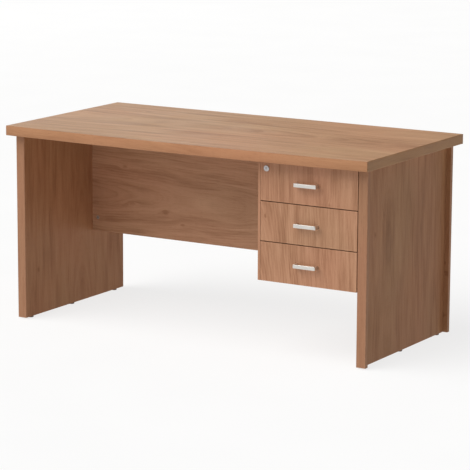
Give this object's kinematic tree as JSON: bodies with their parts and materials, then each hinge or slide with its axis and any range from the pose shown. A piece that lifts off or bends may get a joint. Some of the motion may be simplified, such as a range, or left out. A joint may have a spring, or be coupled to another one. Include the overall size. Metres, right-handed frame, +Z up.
{
  "type": "teacher desk",
  "caption": "Teacher desk with a bowed wood-laminate top, built-up ends, a modesty panel and a hung pedestal of lockable drawers on ball-bearing runners.",
  "frame": {"origin": "on the floor, under the middle of the desktop's bounding rectangle", "axes": "+X to the sitter's right, towards the drawers; -Y towards the sitter; +Z up"},
  "size_m": [1.5, 0.75, 0.73],
  "materials": {
    "desktop_laminate": "satin woodgrain laminate",
    "edge_banding": "satin woodgrain ABS",
    "panel_laminate": "satin woodgrain laminate",
    "modesty_laminate": "satin woodgrain laminate",
    "pedestal_laminate": "satin woodgrain laminate",
    "front_laminate": "satin woodgrain laminate",
    "drawer_board": "light grey melamine board",
    "hardboard": "coated hardboard",
    "beech": "fluted beech dowel",
    "runner_zinc": "bright zinc plate",
    "ball_steel": "polished balls in a pressed cage",
    "fastener_steel": "zinc-plated",
    "cam_zinc": "die-cast zinc",
    "handle_nickel": "satin nickel",
    "lock_nickel": "satin nickel plate",
    "glide_plastic": "brown moulded plastic"
  },
  "bodies": {
    "desk_frame": {"desktop_board": "desktop_laminate", "desktop_front_edge": "edge_banding", "desktop_side_edges": "edge_banding", "desktop_back_edge": "edge_banding", "left_end_panel": "panel_laminate", "right_end_panel": "panel_laminate", "end_panel_build_ups": "panel_laminate", "end_panel_edges": "edge_banding", "modesty_panel": "modesty_laminate", "modesty_lower_edge": "edge_banding", "modesty_brackets": "fastener_steel", "bracket_screws": "fastener_steel", "cam_housings": "cam_zinc", "cam_bolts": "fastener_steel", "wood_dowels": "beech", "floor_glides": "glide_plastic", "pedestal_left_side": "pedestal_laminate", "pedestal_right_side": "pedestal_laminate", "pedestal_top_rails": "pedestal_laminate", "pedestal_floor": "pedestal_laminate", "pedestal_back": "drawer_board", "pedestal_edges": "edge_banding", "pedestal_screws": "fastener_steel", "runner_cabinet_members": "runner_zinc", "runner_screws": "fastener_steel", "lock_strike": "fastener_steel"},
    "drawer_1": {"drawer_1_front": "front_laminate", "drawer_1_box_sides": "drawer_board", "drawer_1_box_ends": "drawer_board", "drawer_1_bottom": "hardboard", "drawer_1_handle": "handle_nickel", "drawer_1_screws": "fastener_steel", "drawer_1_runner_members": "runner_zinc", "lock_body": "lock_nickel"},
    "runner_1_middle": {"runner_1_middle_members": "runner_zinc"},
    "runner_1_outer_cages": {"runner_1_outer_ball_cages": "ball_steel"},
    "runner_1_inner_cages": {"runner_1_inner_ball_cages": "ball_steel"},
    "drawer_2": {"drawer_2_front": "front_laminate", "drawer_2_box_sides": "drawer_board", "drawer_2_box_ends": "drawer_board", "drawer_2_bottom": "hardboard", "drawer_2_handle": "handle_nickel", "drawer_2_screws": "fastener_steel", "drawer_2_runner_members": "runner_zinc"},
    "runner_2_middle": {"runner_2_middle_members": "runner_zinc"},
    "runner_2_outer_cages": {"runner_2_outer_ball_cages": "ball_steel"},
    "runner_2_inner_cages": {"runner_2_inner_ball_cages": "ball_steel"},
    "drawer_3": {"drawer_3_front": "front_laminate", "drawer_3_box_sides": "drawer_board", "drawer_3_box_ends": "drawer_board", "drawer_3_bottom": "hardboard", "drawer_3_handle": "handle_nickel", "drawer_3_screws": "fastener_steel", "drawer_3_runner_members": "runner_zinc"},
    "runner_3_middle": {"runner_3_middle_members": "runner_zinc"},
    "runner_3_outer_cages": {"runner_3_outer_ball_cages": "ball_steel"},
    "runner_3_inner_cages": {"runner_3_inner_ball_cages": "ball_steel"},
    "lock_core": {"lock_plug": "lock_nickel", "lock_cam": "fastener_steel"}
  },
  "joints": [
    {"name": "drawer_1_slide", "type": "slide", "parent": "desk_frame", "child": "drawer_1", "axis": [0, -1, 0], "range_m": [0, 0.38]},
    {"name": "drawer_2_slide", "type": "slide", "parent": "desk_frame", "child": "drawer_2", "axis": [0, -1, 0], "range_m": [0, 0.38]},
    {"name": "drawer_3_slide", "type": "slide", "parent": "desk_frame", "child": "drawer_3", "axis": [0, -1, 0], "range_m": [0, 0.38]},
    {"name": "runner_1_middle_slide", "type": "slide", "parent": "desk_frame", "child": "runner_1_middle", "axis": [0, -1, 0], "range_m": [0, 0.19]},
    {"name": "runner_1_outer_cages_slide", "type": "slide", "parent": "desk_frame", "child": "runner_1_outer_cages", "axis": [0, -1, 0], "range_m": [0, 0.095]},
    {"name": "runner_1_inner_cages_slide", "type": "slide", "parent": "desk_frame", "child": "runner_1_inner_cages", "axis": [0, -1, 0], "range_m": [0, 0.285]},
    {"name": "runner_2_middle_slide", "type": "slide", "parent": "desk_frame", "child": "runner_2_middle", "axis": [0, -1, 0], "range_m": [0, 0.19]},
    {"name": "runner_2_outer_cages_slide", "type": "slide", "parent": "desk_frame", "child": "runner_2_outer_cages", "axis": [0, -1, 0], "range_m": [0, 0.095]},
    {"name": "runner_2_inner_cages_slide", "type": "slide", "parent": "desk_frame", "child": "runner_2_inner_cages", "axis": [0, -1, 0], "range_m": [0, 0.285]},
    {"name": "runner_3_middle_slide", "type": "slide", "parent": "desk_frame", "child": "runner_3_middle", "axis": [0, -1, 0], "range_m": [0, 0.19]},
    {"name": "runner_3_outer_cages_slide", "type": "slide", "parent": "desk_frame", "child": "runner_3_outer_cages", "axis": [0, -1, 0], "range_m": [0, 0.095]},
    {"name": "runner_3_inner_cages_slide", "type": "slide", "parent": "desk_frame", "child": "runner_3_inner_cages", "axis": [0, -1, 0], "range_m": [0, 0.285]},
    {"name": "lock_turn", "type": "hinge", "parent": "drawer_1", "child": "lock_core", "pos_m": [0.3355, -0.317, 0.665], "axis": [0, -1, 0], "range_deg": [0, 90]}
  ],
  "couplings": [
    {"joint": "runner_1_middle_slide", "follows": "drawer_1_slide", "ratio": 0.5},
    {"joint": "runner_1_outer_cages_slide", "follows": "drawer_1_slide", "ratio": 0.25},
    {"joint": "runner_1_inner_cages_slide", "follows": "drawer_1_slide", "ratio": 0.75},
    {"joint": "runner_2_middle_slide", "follows": "drawer_2_slide", "ratio": 0.5},
    {"joint": "runner_2_outer_cages_slide", "follows": "drawer_2_slide", "ratio": 0.25},
    {"joint": "runner_2_inner_cages_slide", "follows": "drawer_2_slide", "ratio": 0.75},
    {"joint": "runner_3_middle_slide", "follows": "drawer_3_slide", "ratio": 0.5},
    {"joint": "runner_3_outer_cages_slide", "follows": "drawer_3_slide", "ratio": 0.25},
    {"joint": "runner_3_inner_cages_slide", "follows": "drawer_3_slide", "ratio": 0.75}
  ]
}
